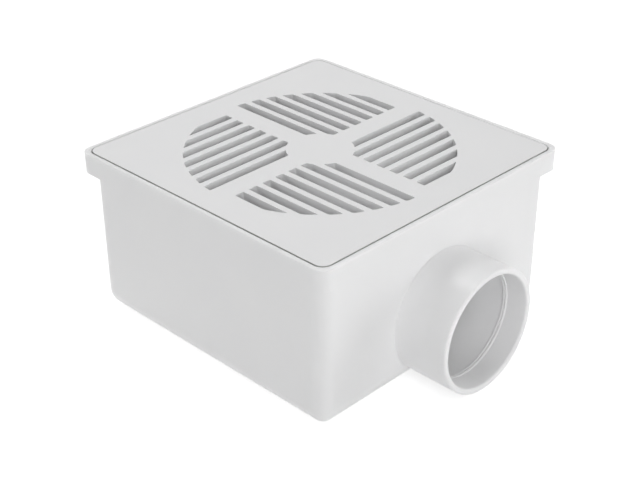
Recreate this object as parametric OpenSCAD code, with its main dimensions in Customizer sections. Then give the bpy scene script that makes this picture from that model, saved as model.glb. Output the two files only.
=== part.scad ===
// Square trapped floor drain with a side spigot for 40 mm waste pipe.
// Z is up. The origin lies on the underside, below the centre of the grating,
// and the outlet points along +X. The walls are drafted for the mould, and
// everything inside is open upwards, so that the core can be drawn out.

/* [Rim and ledge] */
// Outside width of the square rim
rim_w = 106; // [96:1:130]
// Height of the rim's outer skirt
rim_h = 7; // [6.5:0.5:12]
// Thickness of the lip that stands round the grating
rim_lip = 1.7; // [1.2:0.1:3]
// Radius of the rim's four corners
rim_r = 3.9; // [2.5:0.1:6]
// Rounding of the lip's outer edge
rim_soft = 0.3; // [0.2:0.1:0.5]
// Rounding of the lip's inner edge, which leads the grating in
lip_soft = 0.5; // [0.2:0.1:0.6]
// Thickness of the ledge that carries the grating
ledge_t = 2; // [1.5:0.1:3]
// How far the rim overhangs the box on the two sides away from the outlet corner
rim_over = 6; // [4:0.1:9]

/* [Box] */
// Overall height, from the underside to the top of the rim
drain_h = 54; // [50:1:80]
// Thickness of the box's walls
wall = 2.2; // [1.6:0.1:3]
// Inward slope of the walls, in mm per mm of height
draft = 0.007; // [0.001:0.001:0.02]
// Radius of the box's upright corners, just under the rim
box_r = 4.9; // [3.5:0.1:8]
// Radius round the box's bottom edge
foot_r = 7; // [4:0.5:8]

/* [Grating] */
// Thickness of the grating
grate_t = 4; // [3:0.1:5]
// Gap all round, between the grating and the lip
grate_gap = 0.4; // [0.2:0.1:1]
// Radius of the grating's corners
grate_r = 3; // [2:0.1:5]
// Rounding of the grating's top edge
grate_soft = 0.15; // [0.1:0.05:0.5]
// Number of slots in each quarter
slot_n = 7; // [3:1:7]
// Distance from one slot to the next
slot_pitch = 5.4; // [4.5:0.1:5.8]
// Width of a slot
slot_w = 3.3; // [2.5:0.1:4]
// Radius of the circle that the slots fill
slot_circle = 42.6; // [42:0.1:46]
// Radius of the plain disc in the middle
hub_circle = 10.8; // [7:0.1:16]
// Half the width of the plain cross between the quarters
cross_half = 3.8; // [2.5:0.1:6]

/* [Outlet] */
// Outside diameter of the spigot
outlet_d = 40; // [32:0.1:44]
// Height of the spigot's underside above the box's underside
outlet_lift = 0.15; // [0.15:0.05:2]
// Distance from the rim's outlet face to the spigot's mouth
outlet_len = 18.5; // [15:0.1:40]
// Thickness of the spigot's wall
outlet_wall = 2.2; // [1.8:0.1:3]
// How much the bore widens from the mark ring to the mouth, on the radius
mouth_flare = 0.3; // [0.1:0.05:0.6]
// Depth of the mark ring inside the mouth
ring_depth = 8; // [5:0.5:12]
// Width of each of the mark ring's two beads
bead_w = 0.9; // [0.6:0.1:1.4]
// How far the beads stand in from the bore
bead_h = 0.3; // [0.2:0.05:0.4]
// Rounding of the mouth's two edges
mouth_soft = 0.5; // [0.2:0.1:0.8]
// Radius of the fillet where the spigot leaves the box
root_r = 0.6; // [0.3:0.1:2]
// How much the spigot's root widens behind that fillet, on the radius
root_flare = 0.1; // [0.05:0.01:0.12]

/* [Trap] */
// Thickness of the weir's walls
weir_t = 2; // [1.6:0.1:3]
// Length of the chamber behind the weir
weir_len = 26; // [20:1:32]
// Gap between the weir and the hood round it
hood_gap = 8; // [6:0.5:10]
// Thickness of the hood
hood_t = 1.8; // [1.4:0.1:2.5]
// Height of the hood's lower edge above the underside
hood_dip = 12; // [9:0.5:16]
// Clear height between the weir's lip and the hood's roof
hood_rise = 10.8; // [8:0.1:12]
// Clearance between the hood's finger tab and the grating
head_gap = 1.4; // [0.8:0.1:3]
// Radius of the hood's corners
hood_r = 4; // [3.5:0.5:7]
// Width of the hood's feet
foot_w = 8; // [5:0.5:10]
// Height of the finger tab on the hood
tab_h = 4; // [2:0.5:4.5]
// Width of the finger tab
tab_w = 18; // [10:1:30]
// Clearance of the hood and its seal to what guides them
fit_gap = 0.3; // [0.1:0.05:0.5]

/* [Seal] */
// Thickness of the rubber on each side of the hood's edge
seal_t = 1.2; // [0.8:0.1:1.6]
// Thickness of the rubber between the hood's edge and the wall
seal_web = 2; // [1.5:0.1:3]
// How far the rubber reaches over the hood's edge
seal_lap = 2.5; // [1.5:0.1:4]
// Clearance of the rubber's groove to the hood's edge
seal_gap = 0.05; // [0.02:0.01:0.1]

/* [Ribs] */
// Thickness of the ribs inside the box
rib_t = 2; // [1.5:0.1:3]
// How far the ribs stand out from the wall
rib_d = 5; // [3:0.5:8]
// Distance between the ribs on the side without overhang
rib_pitch = 28; // [20:1:32]
// Height of the two stops that keep the hood forward
stop_h = 5; // [3:0.5:8]

/* [Hidden] */
$fn = 96;
bite = 0.2;   // how far joined parts of one moulding run into each other
tuck = 0.001;

// Levels
rim_z = drain_h - rim_h;
ledge_z = drain_h - grate_t;
outlet_r = outlet_d / 2;
bore_r = outlet_r - outlet_wall;
mouth_r = bore_r + mouth_flare;
outlet_z = outlet_r + outlet_lift;
floor_z = outlet_z - bore_r;         // the bore runs out level with the floor

// Plan: the box is flush with the rim on the outlet side and the side to its right
rim_low_w = rim_w - 2 * rim_h * draft;
box_w = rim_low_w - rim_over;
shift = rim_over / 2;
axis_y = -shift;
inside_r = box_r - wall / 2;
inside_w = box_w - 2 * wall + 2 * (ledge_z - rim_z) * draft;
pocket_w = rim_w - 2 * rim_lip;
pocket_r = grate_r + grate_gap;
grate_w = pocket_w - 2 * grate_gap;

// Along the outlet
face_x = rim_low_w / 2;
neck_x = face_x + root_r;            // from here the spigot takes the pipe fitting
mouth_x = rim_w / 2 + outlet_len;
ring_x = mouth_x - ring_depth;
inner_x = shift + inside_w / 2;      // outlet wall's inner face, at the ledge
function wall_x(z) = inner_x - (ledge_z - z) * draft;

// Weir and hood. The hood reaches up to the grating, and the weir's lip lies
// under its roof, so a taller drain has a deeper seal.
hood_top = ledge_z - head_gap - tab_h;
hood_roof = hood_top - hood_t;
weir_z = hood_roof - hood_rise;
weir_x = inner_x - weir_len;
weir_half = bore_r + weir_t;
hood_in = weir_half + hood_gap;
hood_out = hood_in + hood_t;
hood_back = weir_x - weir_t - hood_gap - hood_t;
hood_front = inner_x - seal_web;
rib_y = hood_out + seal_t + fit_gap;

// Section of a block's edge. x runs outwards from the centre line of the
// block's corner, out is the reach at the top, and the side slopes inwards on
// its way down. The lower and upper outer corners are rounded: each round
// stands out by tuck, so that it meets the sloping side at a clear point.
module edge_section(back, out, low, top, soft_low, soft_top, slope) {
    function side(z) = out - (top - z) * slope;
    z1 = low + soft_low;
    z2 = top - soft_top;
    x1 = side(z1) - soft_low + tuck;
    x2 = side(z2) - soft_top + tuck;
    polygon(concat(
        soft_low > 0 ? [[-back, low], [x1, low], [x1, z1]] : [[-back, low]],
        [[side(z1), z1], [side(z2), z2]],
        soft_top > 0 ? [[x2, z2], [x2, top], [-back, top]] : [[-back, top]]
    ));
    if (soft_low > 0) translate([x1, z1]) circle(soft_low);
    if (soft_top > 0) translate([x2, z2]) circle(soft_top);
}

// Square block, w wide at its top, with corners of radius r there: the edge
// section is carried straight along the four sides and turned through the
// corners. In the middle the sections of both directions cross, because the
// lower round may be wider than the corner.
module moulded_block(w, r, low, top, soft_low = 0, soft_top = 0, slope = draft) {
    half = w / 2 - r;
    module section() { edge_section(half, r, low, top, soft_low, soft_top, slope); }
    module outer_section() {
        intersection() {
            section();
            translate([0, low - 1]) square([r + 1, top - low + 2]);
        }
    }
    module middle() {
        rotate([90, 0, 0]) linear_extrude(2 * half, center = true)
            intersection() {
                for (m = [0, 1]) mirror([m, 0]) translate([half, 0]) section();
                translate([-half, low - 1]) square([2 * half, top - low + 2]);
            }
    }
    if (soft_low > r - (top - low) * slope)
        intersection() {
            middle();
            rotate([0, 0, 90]) middle();
        }
    else
        translate([-half, -half, low]) cube([2 * half, 2 * half, top - low]);
    for (k = [0:3]) rotate([0, 0, 90 * k]) translate([half, half, 0]) {
        rotate([90, 0, 0]) linear_extrude(2 * half) outer_section();
        rotate_extrude(angle = 90) outer_section();
    }
}

module at_box() {
    translate([shift, -shift, 0]) children();
}

module along_outlet(x) {
    translate([x, axis_y, outlet_z]) rotate([0, 90, 0]) children();
}

// Block about the outlet's axis in plan, from x0 to x1
module outlet_block(half, low, top, x0, x1) {
    translate([x0, axis_y - half, low]) cube([x1 - x0, 2 * half, top - low]);
}

// Arched slab across the outlet's axis, with the two upper corners rounded
module arch(half, low, top, r, x0, x1) {
    translate([x0, axis_y, 0]) rotate([90, 0, 90]) linear_extrude(x1 - x0) {
        translate([-half, low]) square([2 * half, top - r - low]);
        translate([r - half, low]) square([2 * (half - r), top - low]);
        for (s = [-1, 1]) translate([s * (half - r), top - r]) circle(r);
    }
}

// Spigot with a rounded mouth, and the fillet at its root. It starts inside
// the box's bottom rounding, which the cavity then cuts clean. The root widens
// towards the box, and past the neck the spigot is straight for its fitting.
module spigot() {
    root_x = face_x - foot_r - wall;
    along_outlet(root_x) rotate_extrude() {
        intersection() {
            rotate(90) mirror([0, 1])
                edge_section(1, mouth_x - root_x, -1, outlet_r, 0, mouth_soft, 0);
            square([outlet_r, mouth_x - root_x]);
        }
        polygon([[0, 0], [outlet_r + root_flare, 0], [outlet_r, neck_x - root_x],
                 [0, neck_x - root_x]]);
    }
    intersection() {
        along_outlet(face_x - (rim_z - outlet_z) * draft - bite)
            rotate_extrude() difference() {
                square([outlet_r + root_r, bite + root_r]);
                translate([outlet_r + root_r, bite + root_r]) circle(root_r);
            }
        translate([0, -rim_w, foot_r]) cube([rim_w, 2 * rim_w, rim_z - foot_r]);
    }
}

// The bore, its widening mouth with a rounded inner edge, and the mark ring:
// two fine beads side by side, which are left standing
module bore() {
    difference() {
        union() {
            along_outlet(weir_x) cylinder(r = bore_r, h = ring_x - weir_x);
            along_outlet(ring_x) cylinder(r1 = bore_r, r2 = mouth_r, h = ring_depth);
            along_outlet(mouth_x - mouth_soft) rotate_extrude() difference() {
                square([mouth_r + mouth_soft, mouth_soft + 1]);
                translate([mouth_r + mouth_soft, 0]) circle(mouth_soft);
            }
        }
        for (s = [-1, 1]) along_outlet(ring_x + s * bead_w / 2) bead();
    }
}

// A bead's crown is the part of a circle that stands in from the bore
module bead() {
    r = (bead_w * bead_w / 4 + bead_h * bead_h) / (2 * bead_h);
    rotate_extrude() intersection() {
        translate([bore_r - bead_h + r, 0]) circle(r);
        translate([bore_r - bead_h, -bead_w / 2]) square([bead_h + bite, bead_w]);
    }
}

// Weir, solid until the bore and the hollow over it are cut
module weir() {
    outlet_block(weir_half, floor_z - bite, weir_z, weir_x - weir_t, inner_x + bite);
}

module weir_hollow() {
    outlet_block(bore_r, outlet_z, weir_z + 1, weir_x, wall_x(weir_z));
}

// Ribs up to the ledge: two on the outlet wall guide the hood, three stand on
// the other wall without overhang. Stops on the floor keep the hood forward.
module ribs() {
    for (s = [-1, 1])
        translate([inner_x - rib_d, axis_y + s * (rib_y + rib_t / 2) - rib_t / 2, floor_z - bite])
            cube([rib_d + bite, rib_t, ledge_z - floor_z + bite]);
    for (i = [-1:1]) at_box()
        translate([i * rib_pitch - rib_t / 2, -inside_w / 2 - bite, floor_z - bite])
            cube([rib_t, rib_d + bite, ledge_z - floor_z + bite]);
    for (s = [-1, 1])
        translate([hood_back - fit_gap - rib_t,
                   axis_y + s * (hood_out - foot_w / 2) - foot_w / 2, floor_z - bite])
            cube([rib_t, foot_w, stop_h + bite]);
}

// The box's inside, grown by more on all sides but the top
module inside(more) {
    at_box() moulded_block(inside_w + 2 * more, inside_r + more, floor_z - more,
                           ledge_z, foot_r - wall + more);
}

module drain_body() color("white") {
    difference() {
        union() {
            difference() {
                union() {
                    at_box() moulded_block(box_w, box_r, 0, rim_z, foot_r);
                    moulded_block(rim_w, rim_r, rim_z, drain_h, 0, rim_soft);
                    spigot();
                }
                inside(0);
                // room for the grating
                moulded_block(pocket_w, pocket_r, ledge_z, drain_h + 1, slope = 0);
                lip_round();
                // key for the mortar, between the rim's skirt and the box
                difference() {
                    moulded_block(pocket_w, grate_r, rim_z - 1, ledge_z - ledge_t, slope = 0);
                    at_box() moulded_block(box_w, box_r, rim_z - 2, ledge_z, slope = 0);
                }
            }
            intersection() {
                union() {
                    weir();
                    ribs();
                }
                inside(bite);
            }
        }
        bore();
        weir_hollow();
    }
}

// What the rounding of the lip's inner edge takes away, all round the pocket
module lip_round() {
    half = pocket_w / 2 - pocket_r;
    centre = [pocket_r + lip_soft - tuck, drain_h - lip_soft + tuck];
    module section() {
        difference() {
            translate([pocket_r - bite, centre.y]) square([lip_soft + bite - tuck, lip_soft + 1]);
            translate(centre) circle(lip_soft);
        }
    }
    for (k = [0:3]) rotate([0, 0, 90 * k]) translate([half, half, 0]) {
        rotate([90, 0, 0]) linear_extrude(2 * half) section();
        rotate_extrude(angle = 90) section();
    }
}

// Slots of one quarter, all parallel; a quarter turn sets them crosswise in the next
module quarter_slots() {
    intersection() {
        difference() {
            circle(slot_circle);
            circle(hub_circle);
        }
        for (i = [1:slot_n])
            translate([i * slot_pitch - slot_w / 2, cross_half]) square([slot_w, slot_circle]);
    }
}

module grating() color("white") {
    difference() {
        moulded_block(grate_w, grate_r, ledge_z, drain_h, 0, grate_soft, 0);
        translate([0, 0, ledge_z - 1]) linear_extrude(grate_t + 2)
            for (k = [0:3]) rotate(90 * k) quarter_slots();
    }
}

// Plan of the hood: square at the outlet, rounded at the back
module hood_plan(half, back, r) {
    translate([0, axis_y, 0]) linear_extrude(drain_h) {
        translate([back + r, -half]) square([inner_x - back - r + 1, 2 * half]);
        translate([back, r - half]) square([r + 1, 2 * (half - r)]);
        for (s = [-1, 1]) translate([back + r, s * (half - r)]) circle(r);
    }
}

module hood_shell(low) {
    difference() {
        intersection() {
            arch(hood_out, low, hood_top, hood_r, hood_back, hood_front);
            hood_plan(hood_out, hood_back, hood_r);
        }
        intersection() {
            arch(hood_in, low - 1, hood_roof, hood_r - hood_t, hood_back + hood_t, hood_front + 1);
            hood_plan(hood_in, hood_back + hood_t, hood_r - hood_t);
        }
    }
}

// Inverted box over the weir. Its skirt dips under the water on three sides
// and stands on four feet; the open side faces the outlet wall.
module trap_hood() color("whitesmoke") {
    front_foot = wall_x(floor_z) - (foot_r - wall) - fit_gap;
    difference() {
        hood_shell(floor_z);
        outlet_block(hood_out - foot_w, floor_z - 1, hood_dip, hood_back - 1, hood_front + 1);
        outlet_block(hood_out + 1, floor_z - 1, hood_dip, hood_back + foot_w, front_foot - foot_w);
        outlet_block(hood_out + 1, floor_z - 1, hood_dip, front_foot, hood_front + 1);
    }
    translate([(hood_back + hood_front) / 2, 0, 0])
        arch(tab_w / 2, hood_top - bite, hood_top + tab_h, 2, -hood_t / 2, hood_t / 2);
}

// Rubber edge strip: grips the hood's open edge and bears on the drafted wall
module hood_seal() color("dimgray") {
    back = hood_front - seal_lap;
    difference() {
        arch(hood_out + seal_t, hood_dip, hood_top + seal_t, hood_r + seal_t, back, inner_x + 1);
        arch(hood_in - seal_t, hood_dip - 1, hood_roof - seal_t, hood_r - hood_t - seal_t,
             back - 1, inner_x + 2);
        difference() {
            arch(hood_out + seal_gap, hood_dip - 1, hood_top + seal_gap, hood_r + seal_gap,
                 back - 1, hood_front + seal_gap);
            arch(hood_in - seal_gap, hood_dip - 2, hood_roof - seal_gap,
                 hood_r - hood_t - seal_gap, back - 2, hood_front + 1);
        }
        rotate([90, 0, 0]) linear_extrude(2 * rim_w, center = true)
            polygon([[wall_x(0), 0], [wall_x(drain_h), drain_h],
                     [inner_x + 9, drain_h], [inner_x + 9, 0]]);
    }
}

drain_body();
grating();
trap_hood();
hood_seal();
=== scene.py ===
import math

import bmesh
import bpy
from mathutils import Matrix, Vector


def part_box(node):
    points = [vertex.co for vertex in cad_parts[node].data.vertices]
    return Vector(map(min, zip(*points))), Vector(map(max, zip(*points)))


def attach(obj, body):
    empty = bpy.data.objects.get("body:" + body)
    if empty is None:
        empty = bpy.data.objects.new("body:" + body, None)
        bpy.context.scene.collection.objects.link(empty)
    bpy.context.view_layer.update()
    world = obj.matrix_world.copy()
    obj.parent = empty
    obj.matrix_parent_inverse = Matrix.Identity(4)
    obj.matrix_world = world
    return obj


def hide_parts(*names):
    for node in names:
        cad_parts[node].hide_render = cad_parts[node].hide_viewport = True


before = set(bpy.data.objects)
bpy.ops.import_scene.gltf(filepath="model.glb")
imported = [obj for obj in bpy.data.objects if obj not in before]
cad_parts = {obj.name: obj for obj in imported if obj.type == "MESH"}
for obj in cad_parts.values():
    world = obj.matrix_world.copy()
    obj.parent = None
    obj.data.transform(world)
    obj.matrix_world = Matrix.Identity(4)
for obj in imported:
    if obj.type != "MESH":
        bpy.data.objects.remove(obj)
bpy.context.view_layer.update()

# Trapped floor drain in white PVC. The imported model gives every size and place. This script
# gives the mouldings their softened edges and their finish, and sets floor, lamps and camera.
mm = 0.001
noiseSpan = (0.3, 0.7)         # nearly all values of a noise texture lie between these
mixedColour = 2                # the output of a Mix node that carries its colour
print("frame loaded:", ", ".join(sorted(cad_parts)))


def toLinear(hexText):
    parts = [int(hexText[i:i + 2], 16) / 255 for i in (1, 3, 5)]
    return [p / 12.92 if p <= 0.04045 else ((p + 0.055) / 1.055) ** 2.4 for p in parts] + [1.0]


def addNode(tree, kind, settings=None, links=None):
    node = tree.nodes.new(kind)
    for name, value in (settings or {}).items():
        if hasattr(node, name):
            setattr(node, name, value)
        else:
            next(s for s in node.inputs if s.identifier == name).default_value = value
    for name, output in (links or {}).items():
        tree.links.new(output, next(s for s in node.inputs if s.identifier == name))
    return node


def newMaterial(name):
    material = bpy.data.materials.new(name)
    material.use_nodes = True
    material.node_tree.nodes.clear()
    return material, material.node_tree


# Materials

# White rigid PVC, injection moulded in a spark-eroded steel mould: the surface is satin, so
# lamps spread into wide soft patches, and its fine even grain takes the glassiness out of them.
satinPvc = {
    "whiteHex": "#F4F4F4",
    "dullHex": "#F0F0F1",      # where the melt ran slower the white is a touch duller
    "flowMm": 24,              # width of those clouds
    "ior": 1.53,
    "roughness": (0.31, 0.39),
    "patchMm": 5,              # width of the shinier and duller patches
    "grainMm": 0.4,            # the real grain is finer; this is as fine as the render shows
    "grainHighMm": 0.002,
}

# The body's walls are only about 2 mm thick, so a little light spreads inside the white plastic.
# To the eye the spigot and its bore are softly filled with light.
bodyLook = {"glowMm": 1.5}

# Painted shade: grey painted in patches on the grating's side wall only, for the shade that
# falls in the narrow gap round the grating; it gives the thin dark line along the lip.
paintedGapShade = {
    "hex": "#B2B2AE",
    "cutInMm": 1.1,            # how far the plate's round corners cut in from its box
    "belowTopMm": 0.12,        # the painted shade stops short of the top's rounded edge
    "fadeMm": 0.1,
    "least": 0.75,             # share of the painted shade left where it is faintest
}

# Black EPDM rubber, extruded and cut: matt, with a grey bloom that gathers in soft blotches.
mattRubber = {
    "blackHex": "#202021",
    "bloomHex": "#353536",
    "bloomMm": 3,
    "ior": 1.5,
    "roughness": (0.55, 0.7),
    "grainMm": 0.3,
    "grainHighMm": 0.01,
}


def twoTone(tree, firstHex, secondHex, noise):
    colour = addNode(tree, "ShaderNodeMix",
                     {"data_type": "RGBA", "A_Color": toLinear(firstHex),
                      "B_Color": toLinear(secondHex)},
                     {"Factor_Float": noise})
    return colour.outputs[mixedColour]


def glossFrom(tree, noise, look):
    gloss = addNode(tree, "ShaderNodeMapRange",
                    {"From Min": noiseSpan[0], "From Max": noiseSpan[1],
                     "To Min": look["roughness"][0], "To Max": look["roughness"][1]},
                    {"Value": noise})
    return gloss.outputs["Result"]


def grainRelief(tree, place, look, detail):
    grain = addNode(tree, "ShaderNodeTexNoise",
                    {"Scale": 1 / (look["grainMm"] * mm), "Detail": detail},
                    {"Vector": place})
    relief = addNode(tree, "ShaderNodeBump", {"Distance": look["grainHighMm"] * mm},
                     {"Height": grain.outputs["Fac"]})
    return relief.outputs["Normal"]


# Painted shade: mixes grey into the colour on the grating's outer side wall below its top edge,
# where the gap's shade falls, patchy through the shine noise.
def paintShadeOnGapWall(tree, place, patches, white, shadePaint):
    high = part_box("grating")[1]
    edge = high[0] - shadePaint["cutInMm"] * mm
    top = high[2] - shadePaint["belowTopMm"] * mm
    axes = addNode(tree, "ShaderNodeSeparateXYZ", links={"Vector": place})
    across = addNode(tree, "ShaderNodeMath", {"operation": "ABSOLUTE"},
                     {"Value": axes.outputs["X"]})
    along = addNode(tree, "ShaderNodeMath", {"operation": "ABSOLUTE"},
                    {"Value": axes.outputs["Y"]})
    outer = addNode(tree, "ShaderNodeMath", {"operation": "MAXIMUM"},
                    {"Value": across.outputs["Value"], "Value_001": along.outputs["Value"]})
    onWall = addNode(tree, "ShaderNodeMath", {"operation": "GREATER_THAN", "Value_001": edge},
                     {"Value": outer.outputs["Value"]})
    below = addNode(tree, "ShaderNodeMapRange",
                    {"From Min": top, "From Max": top - shadePaint["fadeMm"] * mm},
                    {"Value": axes.outputs["Z"]})
    uneven = addNode(tree, "ShaderNodeMapRange",
                     {"From Min": noiseSpan[0], "From Max": noiseSpan[1],
                      "To Min": shadePaint["least"], "To Max": 1.0},
                     {"Value": patches})
    shadeBand = addNode(tree, "ShaderNodeMath", {"operation": "MULTIPLY"},
                    {"Value": onWall.outputs["Value"], "Value_001": below.outputs["Result"]})
    amount = addNode(tree, "ShaderNodeMath", {"operation": "MULTIPLY"},
                     {"Value": shadeBand.outputs["Value"], "Value_001": uneven.outputs["Result"]})
    shadedColour = addNode(tree, "ShaderNodeMix",
                    {"data_type": "RGBA", "B_Color": toLinear(shadePaint["hex"])},
                    {"A_Color": white, "Factor_Float": amount.outputs["Value"]})
    return shadedColour.outputs[mixedColour]


def makeSatinPvc(name, look, glowMm=0.0, shadePaint=None):
    material, tree = newMaterial(name)
    place = addNode(tree, "ShaderNodeTexCoord").outputs["Object"]
    flow = addNode(tree, "ShaderNodeTexNoise",
                   {"Scale": 1 / (look["flowMm"] * mm), "Detail": 2, "Roughness": 0.4},
                   {"Vector": place})
    patches = addNode(tree, "ShaderNodeTexNoise",
                      {"Scale": 1 / (look["patchMm"] * mm), "Detail": 3},
                      {"Vector": place})
    white = twoTone(tree, look["whiteHex"], look["dullHex"], flow.outputs["Fac"])
    # where given, the grating's side wall gets its painted gap shade here
    if shadePaint:
        white = paintShadeOnGapWall(tree, place, patches.outputs["Fac"], white, shadePaint)
    surface = addNode(tree, "ShaderNodeBsdfPrincipled",
                      {"IOR": look["ior"], "Subsurface Weight": 1.0 if glowMm else 0.0,
                       "Subsurface Radius": (1, 1, 1), "Subsurface Scale": glowMm * mm},
                      {"Base Color": white,
                       "Roughness": glossFrom(tree, patches.outputs["Fac"], look),
                       "Normal": grainRelief(tree, place, look, detail=1)})
    addNode(tree, "ShaderNodeOutputMaterial", links={"Surface": surface.outputs["BSDF"]})
    return material


def makeMattRubber(name, look):
    material, tree = newMaterial(name)
    place = addNode(tree, "ShaderNodeTexCoord").outputs["Object"]
    bloom = addNode(tree, "ShaderNodeTexNoise",
                    {"Scale": 1 / (look["bloomMm"] * mm), "Detail": 4},
                    {"Vector": place})
    black = twoTone(tree, look["blackHex"], look["bloomHex"], bloom.outputs["Fac"])
    surface = addNode(tree, "ShaderNodeBsdfPrincipled", {"IOR": look["ior"]},
                      {"Base Color": black,
                       "Roughness": glossFrom(tree, bloom.outputs["Fac"], look),
                       "Normal": grainRelief(tree, place, look, detail=2)})
    addNode(tree, "ShaderNodeOutputMaterial", links={"Surface": surface.outputs["BSDF"]})
    return material


satinWhite = makeSatinPvc("satin moulded PVC", satinPvc)
thinWhite = makeSatinPvc("thin-walled satin PVC", satinPvc, glowMm=bodyLook["glowMm"])
# The grating's white has painted shade on its side wall, for the shade in the gap round it
whiteWithPaintedGapShade = makeSatinPvc("satin moulded PVC, painted gap shade", satinPvc, shadePaint=paintedGapShade)
rubberBlack = makeMattRubber("matt extruded EPDM rubber", mattRubber)
print("materials made")


# Pieces: each new one is a merged copy of its CAD node with the small rounds that the mould
# leaves. The body has no such copy and stays the CAD node.

meshing = {
    "weldMm": 0.002,           # corners of the CAD node's loose triangles join within this
    "flatDegrees": 0.3,        # faces that bend less than this become one
    "sharpDegrees": 35,        # an edge that bends more than this gets a round
    "shadeDegrees": 40,        # and one that bends more than this still shades as an edge
    "uprightCosine": 0.999,
}


def mergedCopy(nodeName):
    mesh = bmesh.new()
    mesh.from_mesh(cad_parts[nodeName].data)
    bmesh.ops.remove_doubles(mesh, verts=mesh.verts, dist=meshing["weldMm"] * mm)
    bmesh.ops.dissolve_limit(mesh, angle_limit=math.radians(meshing["flatDegrees"]),
                             verts=mesh.verts, edges=mesh.edges)
    return mesh


def isSharp(edge, degrees=meshing["sharpDegrees"]):
    return edge.is_manifold and edge.calc_face_angle() > math.radians(degrees)


def isUpright(edge):
    direction = (edge.verts[0].co - edge.verts[1].co).normalized()
    return abs(direction.z) > meshing["uprightCosine"]


def roundEdges(mesh, edges, roundMm, segments):
    bmesh.ops.bevel(mesh, geom=edges, offset=roundMm * mm, offset_type="OFFSET",
                    segments=segments, profile=0.5, affect="EDGES", material=-1,
                    clamp_overlap=True)


def finishPiece(mesh, pieceName, nodeName, material):
    bmesh.ops.triangulate(mesh, faces=[f for f in mesh.faces if len(f.verts) > 4])
    data = bpy.data.meshes.new(pieceName)
    mesh.to_mesh(data)
    mesh.free()
    data.shade_smooth()
    data.set_sharp_from_angle(angle=math.radians(meshing["shadeDegrees"]))
    data.materials.append(material)
    piece = bpy.data.objects.new(pieceName, data)
    bpy.context.scene.collection.objects.link(piece)
    evened = piece.modifiers.new("even normals", "WEIGHTED_NORMAL")
    evened.keep_sharp = True
    evened.weight = 100
    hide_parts(nodeName)
    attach(piece, "root")
    print(pieceName, "finished,", len(data.polygons), "faces")


# The lift-out grating: each slot has small round corners and a softened rim
gratingLook = {
    "slotCornerMm": 0.5,
    "slotCornerSides": 4,
    "slotCornerDegrees": 20,   # a slot's upright edges that bend less belong to its curved end
    "slotRimMm": 0.1,
    "slotRimSides": 2,
}
plate = mergedCopy("grating")
slotCorners = [e for e in plate.edges
               if isUpright(e) and isSharp(e, gratingLook["slotCornerDegrees"])]
roundEdges(plate, slotCorners, gratingLook["slotCornerMm"], gratingLook["slotCornerSides"])
roundEdges(plate, [e for e in plate.edges if isSharp(e)], gratingLook["slotRimMm"],
           gratingLook["slotRimSides"])
# its white has painted shade on the side wall, for the shade in the gap
finishPiece(plate, "slotted_grating", "grating", whiteWithPaintedGapShade)

# The lift-out hood
hoodLook = {"edgeMm": 0.25, "edgeSides": 2}
shell = mergedCopy("trap_hood")
roundEdges(shell, [e for e in shell.edges if isSharp(e)], hoodLook["edgeMm"],
           hoodLook["edgeSides"])
finishPiece(shell, "lift_out_hood", "trap_hood", satinWhite)

# The rubber strip on the hood's edge
stripLook = {"edgeMm": 0.15, "edgeSides": 2}
strip = mergedCopy("hood_seal")
roundEdges(strip, [e for e in strip.edges if isSharp(e)], stripLook["edgeMm"],
           stripLook["edgeSides"])
finishPiece(strip, "hood_edge_rubber", "hood_seal", rubberBlack)

nodeMaterials = {"drain_body": thinWhite, "grating": whiteWithPaintedGapShade, "trap_hood": satinWhite,
                 "hood_seal": rubberBlack}
for nodeName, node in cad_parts.items():
    node.data.materials.clear()
    node.data.materials.append(nodeMaterials[nodeName])


# Floor, world and lamps, in metres and watts

# The floor is a matt white painted board, plain and without shine. It ends inside the ring of
# lamps, and the white world goes on behind it.
stage = {
    "floorHalf": 0.55,
    "floorHex": "#F8F8F8",
    "floorGlow": 0.55,         # what the eye sees on top of the lamps' light on the floor
}

# The low panels light the sides and throw no glare, so the top stays clear of pure white from
# every side.
lamps = [
    {"name": "back right low panel", "place": (0.49, 0.85, 0.24), "size": 0.55, "power": 3.95,
     "glare": False},
    {"name": "left front low panel", "place": (-0.85, -0.49, 0.24), "size": 0.55, "power": 3.85,
     "glare": False},
    {"name": "right front low panel", "place": (0.85, -0.49, 0.24), "size": 0.55, "power": 4.0,
     "glare": False},
    {"name": "overhead panel", "place": (0.00, 0.00, 1.03), "size": 0.8, "power": 1.75,
     "glare": True},
    {"name": "right front high panel", "place": (0.61, -0.35, 0.74), "size": 0.55, "power": 1.35,
     "glare": True},
    {"name": "left low panel", "place": (-0.98, 0.00, 0.24), "size": 0.55, "power": 0.85,
     "glare": False},
    {"name": "back left high panel", "place": (-0.50, 0.50, 0.74), "size": 0.55, "power": 1.5,
     "glare": True},
    {"name": "glint panel", "place": (-0.53, 0.14, 0.87), "size": 0.25, "power": 1.5,
     "glare": True},
]
aimAt = Vector((0, 0, 0.03))   # about the middle of the drain


def seenOrMirrored(tree):
    ray = addNode(tree, "ShaderNodeLightPath")
    seen = addNode(tree, "ShaderNodeMath", {"operation": "MAXIMUM"},
                   {"Value": ray.outputs["Is Camera Ray"],
                    "Value_001": ray.outputs["Is Glossy Ray"]})
    orThrough = addNode(tree, "ShaderNodeMath", {"operation": "MAXIMUM"},
                        {"Value": seen.outputs["Value"],
                         "Value_001": ray.outputs["Is Transmission Ray"]})
    return orThrough.outputs["Value"]


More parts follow.
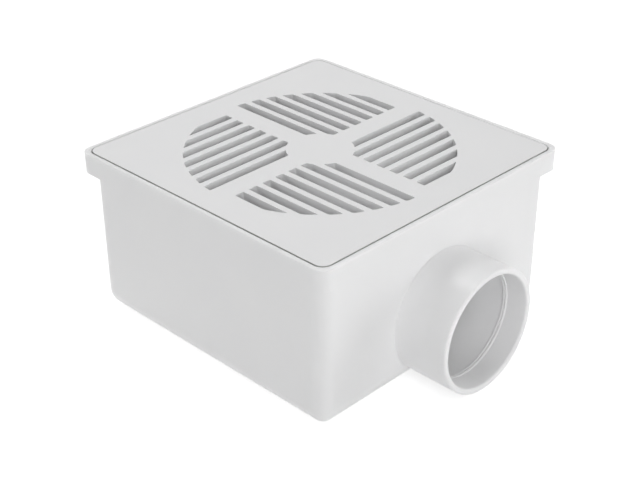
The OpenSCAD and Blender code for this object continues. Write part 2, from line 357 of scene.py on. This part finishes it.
floorMesh = bmesh.new()
bmesh.ops.create_grid(floorMesh, x_segments=1, y_segments=1, size=stage["floorHalf"])
floorData = bpy.data.meshes.new("floor")
floorMesh.to_mesh(floorData)
floorMesh.free()
floor = bpy.data.objects.new("floor", floorData)
bpy.context.scene.collection.objects.link(floor)
floorPaint, tree = newMaterial("matt white painted floor")
glow = addNode(tree, "ShaderNodeMath", {"operation": "MULTIPLY", "Value_001": stage["floorGlow"]},
               {"Value": seenOrMirrored(tree)})
paint = addNode(tree, "ShaderNodeBsdfDiffuse", {"Color": toLinear(stage["floorHex"])})
light = addNode(tree, "ShaderNodeEmission", links={"Strength": glow.outputs["Value"]})
both = addNode(tree, "ShaderNodeAddShader",
               links={"Shader": paint.outputs["BSDF"], "Shader_001": light.outputs["Emission"]})
addNode(tree, "ShaderNodeOutputMaterial", links={"Surface": both.outputs["Shader"]})
floorData.materials.append(floorPaint)

# The world is white to the eye and in reflections, and throws no light of its own
world = bpy.data.worlds.new("studio")
bpy.context.scene.world = world
world.use_nodes = True
tree = world.node_tree
tree.nodes.clear()
sky = addNode(tree, "ShaderNodeBackground", {"Color": (1, 1, 1, 1)},
              {"Strength": seenOrMirrored(tree)})
addNode(tree, "ShaderNodeOutputWorld", links={"Surface": sky.outputs["Background"]})

for lamp in lamps:
    light = bpy.data.lights.new(lamp["name"], "AREA")
    light.size = lamp["size"]
    light.energy = lamp["power"]
    holder = bpy.data.objects.new(lamp["name"], light)
    bpy.context.scene.collection.objects.link(holder)
    holder.location = lamp["place"]
    holder.rotation_euler = (aimAt - holder.location).to_track_quat("-Z", "Y").to_euler()
    holder.visible_glossy = lamp["glare"]
print("stage lit")

# Camera, at the photo's place: metres, degrees and millimetres of lens
view = {
    "place": (0.267741, -0.272676, 0.241919),
    "turn": (59.9799, 0.1429, 44.4135),
    "lens": 76.753,
}
cameraData = bpy.data.cameras.new("camera")
cameraData.lens = view["lens"]
camera = bpy.data.objects.new("camera", cameraData)
bpy.context.scene.collection.objects.link(camera)
camera.location = view["place"]
camera.rotation_euler = [math.radians(a) for a in view["turn"]]
bpy.context.scene.camera = camera
bpy.context.scene.view_settings.view_transform = "Standard"
